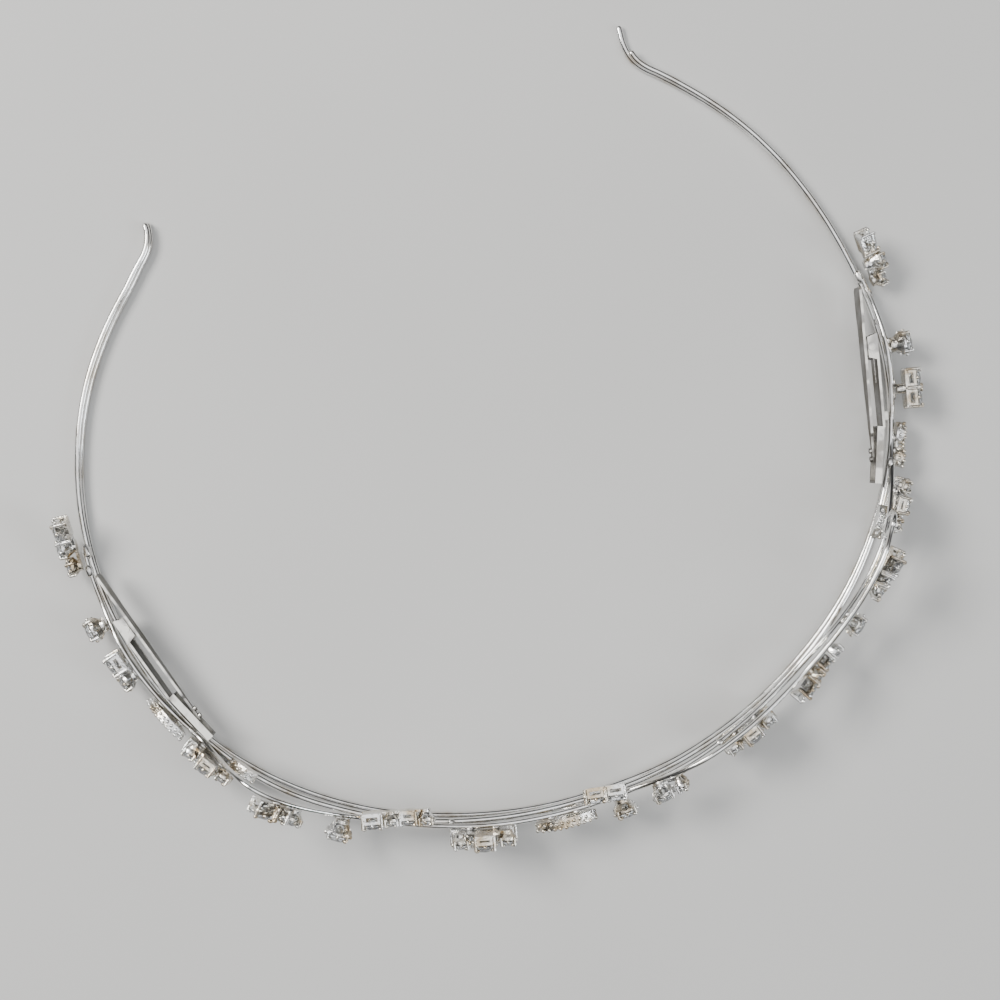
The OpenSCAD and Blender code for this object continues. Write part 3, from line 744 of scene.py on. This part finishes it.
joints = Shape()
for i, m in enumerate(MOTIFS):
    name, table, s, z, out = m[:5]
    if out < MOTIF_OUT:
        middle = band_point(s, INNER_JOINT_OUT, upper_base_z(s) + INNER_JOINT_RISE)
        drop(joints, middle, direction(s), outward(s), INNER_JOINT_RADII, i)
        continue
    reach = joint_reach(table)
    for heights in (LOW_VINE, HIGH_VINE):
        for at in (s - 0.5 * reach, s + 0.5 * reach):
            if heights[0][0] + 1 < at < heights[-1][0] - 1 and abs(wave(heights, at) - z) < reach:
                drop(joints, band_point(at, JOINT_OUT, wave(heights, at)), direction(at),
                     outward(at), JOINT_RADII, i + at)
for s, out, z, size in SOLDER_LUMPS:
    drop(joints, band_point(s, out, z), direction(s), outward(s),
         (LUMP_LONG * size, LUMP_THICK * size, LUMP_THICK * size), s)
for foot, head in LEGS:
    tube(joints, [(band_point(*foot), direction(foot[0]), LEG_RADII[0]),
                  (band_point(*head), direction(foot[0]), LEG_RADII[1])], LEG_SIDES)
solder_joints = joints.make("solder_joints", SOLDER)

# Finishes of the CAD pieces that stay

for name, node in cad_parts.items():
    if name.endswith("_setting"):
        finish = SETTING
    elif name.endswith("_spring"):
        finish = SPRING
    else:
        finish = CLIP
    node.data.materials.clear()
    node.data.materials.append(finish)

# Floor, light and camera

FLOOR_HALF = 6.0
SKY_LEVELS = ((0.0, 0.13), (0.16, 0.09), (0.34, 0.012), (0.5, 0.018), (0.72, 0.12), (0.88, 0.5),
              (0.98, 1.0))
SKY_STRENGTH = 2.1
FIELD_OF_VIEW = 31.21


def floor_material():
    """A plain pale floor with hardly any grain."""
    n = Nodes("pale_floor")
    place = coordinates(n, "Object")
    cloud = n.noise(place, 9.0, 2.0, 0.5)
    grain = n.noise(place, 900.0, 3.0, 0.6)
    n.set("Base Color", n.ramp(cloud, (0.3, (0.57, 0.57, 0.56)), (0.7, (0.61, 0.61, 0.60))))
    n.set("Roughness", 0.75)
    n.bump(grain, 0.12, 0.0001)
    return n.mat


floor_shape = bmesh.new()
bmesh.ops.create_grid(floor_shape, x_segments=1, y_segments=1, size=FLOOR_HALF)
floor_mesh = bpy.data.meshes.new("floor")
floor_shape.to_mesh(floor_mesh)
floor_shape.free()
floor_mesh.materials.append(floor_material())
floor = bpy.data.objects.new("floor", floor_mesh)
bpy.context.scene.collection.objects.link(floor)


def softbox(name, place, aim, size, power, colour):
    """A rectangular soft light, aimed at a place."""
    light = bpy.data.lights.new(name, "AREA")
    light.shape = "RECTANGLE"
    light.size, light.size_y = size
    light.energy = power
    light.color = colour
    lamp = bpy.data.objects.new(name, light)
    lamp.location = place
    lamp.rotation_euler = (Vector(aim) - Vector(place)).to_track_quat("-Z", "Y").to_euler()
    bpy.context.scene.collection.objects.link(lamp)


softbox("window", (-0.42, 0.5, 0.62), (0, 0, 0), (0.45, 0.3), 10, (1.0, 0.98, 0.95))
softbox("fill", (0.55, -0.45, 0.5), (0, 0, 0), (0.3, 0.4), 2.5, (0.93, 0.97, 1.0))

world = bpy.data.worlds.new("studio")
bpy.context.scene.world = world
world.use_nodes = True
tree = world.node_tree
where = tree.nodes.new("ShaderNodeTexCoord")
split = tree.nodes.new("ShaderNodeSeparateXYZ")
sky = tree.nodes.new("ShaderNodeValToRGB")
tree.links.new(where.outputs["Generated"], split.inputs["Vector"])
tree.links.new(split.outputs["Z"], sky.inputs["Fac"])
while len(sky.color_ramp.elements) < len(SKY_LEVELS):
    sky.color_ramp.elements.new(0.5)
for element, (place, level) in zip(sky.color_ramp.elements, SKY_LEVELS):
    element.position = place
    element.color = (level, level, level * 1.01, 1)
back = tree.nodes["Background"]
tree.links.new(sky.outputs["Color"], back.inputs["Color"])
back.inputs["Strength"].default_value = SKY_STRENGTH

# The camera stands almost straight above, turned as in the photograph

EYE = Vector((-9.1, 7.91, 305)) * MM
AIM = Vector((-1.864, -4.355, 5)) * MM
UP = Vector((0.3961, 0.9182, 0))
cam_data = bpy.data.cameras.new("camera")
cam_data.angle = math.radians(FIELD_OF_VIEW)
camera = bpy.data.objects.new("camera", cam_data)
bpy.context.scene.collection.objects.link(camera)
back_by = (EYE - AIM).normalized()
right_by = UP.cross(back_by).normalized()
up_by = back_by.cross(right_by)
turned = Matrix((right_by, up_by, back_by)).transposed()
camera.matrix_world = Matrix.Translation(EYE) @ turned.to_4x4()
cam_data.clip_start = 0.01
cam_data.clip_end = 20
bpy.context.scene.camera = camera
